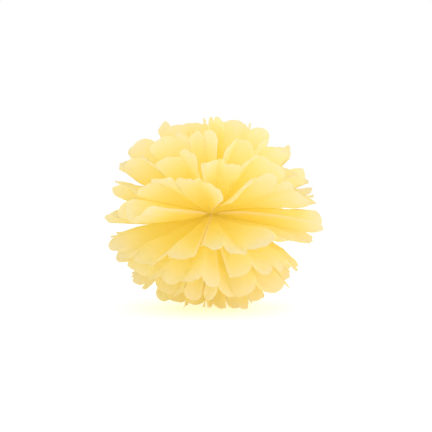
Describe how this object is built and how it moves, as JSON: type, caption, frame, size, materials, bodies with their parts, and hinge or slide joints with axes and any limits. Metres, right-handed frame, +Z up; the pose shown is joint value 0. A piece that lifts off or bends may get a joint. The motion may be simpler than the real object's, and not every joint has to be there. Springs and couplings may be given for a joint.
{
  "type": "tissue paper pom pom",
  "caption": "Ball of pleated tissue paper sheets with round petal ends, tied in the middle with wire, fanned out and pulled apart into a fluffy flattened ball.",
  "frame": {"origin": "middle of the tie, where the wire squeezes the gathered sheets together", "axes": "+Z up through the stack of sheets, out of the upper crown; +X along the folds through the tie; -Y towards the open seam between the two fans that faces the viewer"},
  "size_m": [0.3649, 0.3499, 0.3181],
  "materials": {
    "tissue": "matte translucent",
    "wire": "matte"
  },
  "bodies": {
    "root": {"lower_sheet_4": "tissue", "lower_sheet_3": "tissue", "lower_sheet_2": "tissue", "lower_sheet_1": "tissue", "middle_sheet": "tissue", "upper_sheet_1": "tissue", "upper_sheet_2": "tissue", "upper_sheet_3": "tissue", "upper_sheet_4": "tissue", "tie_wire": "wire"}
  },
  "joints": []
}
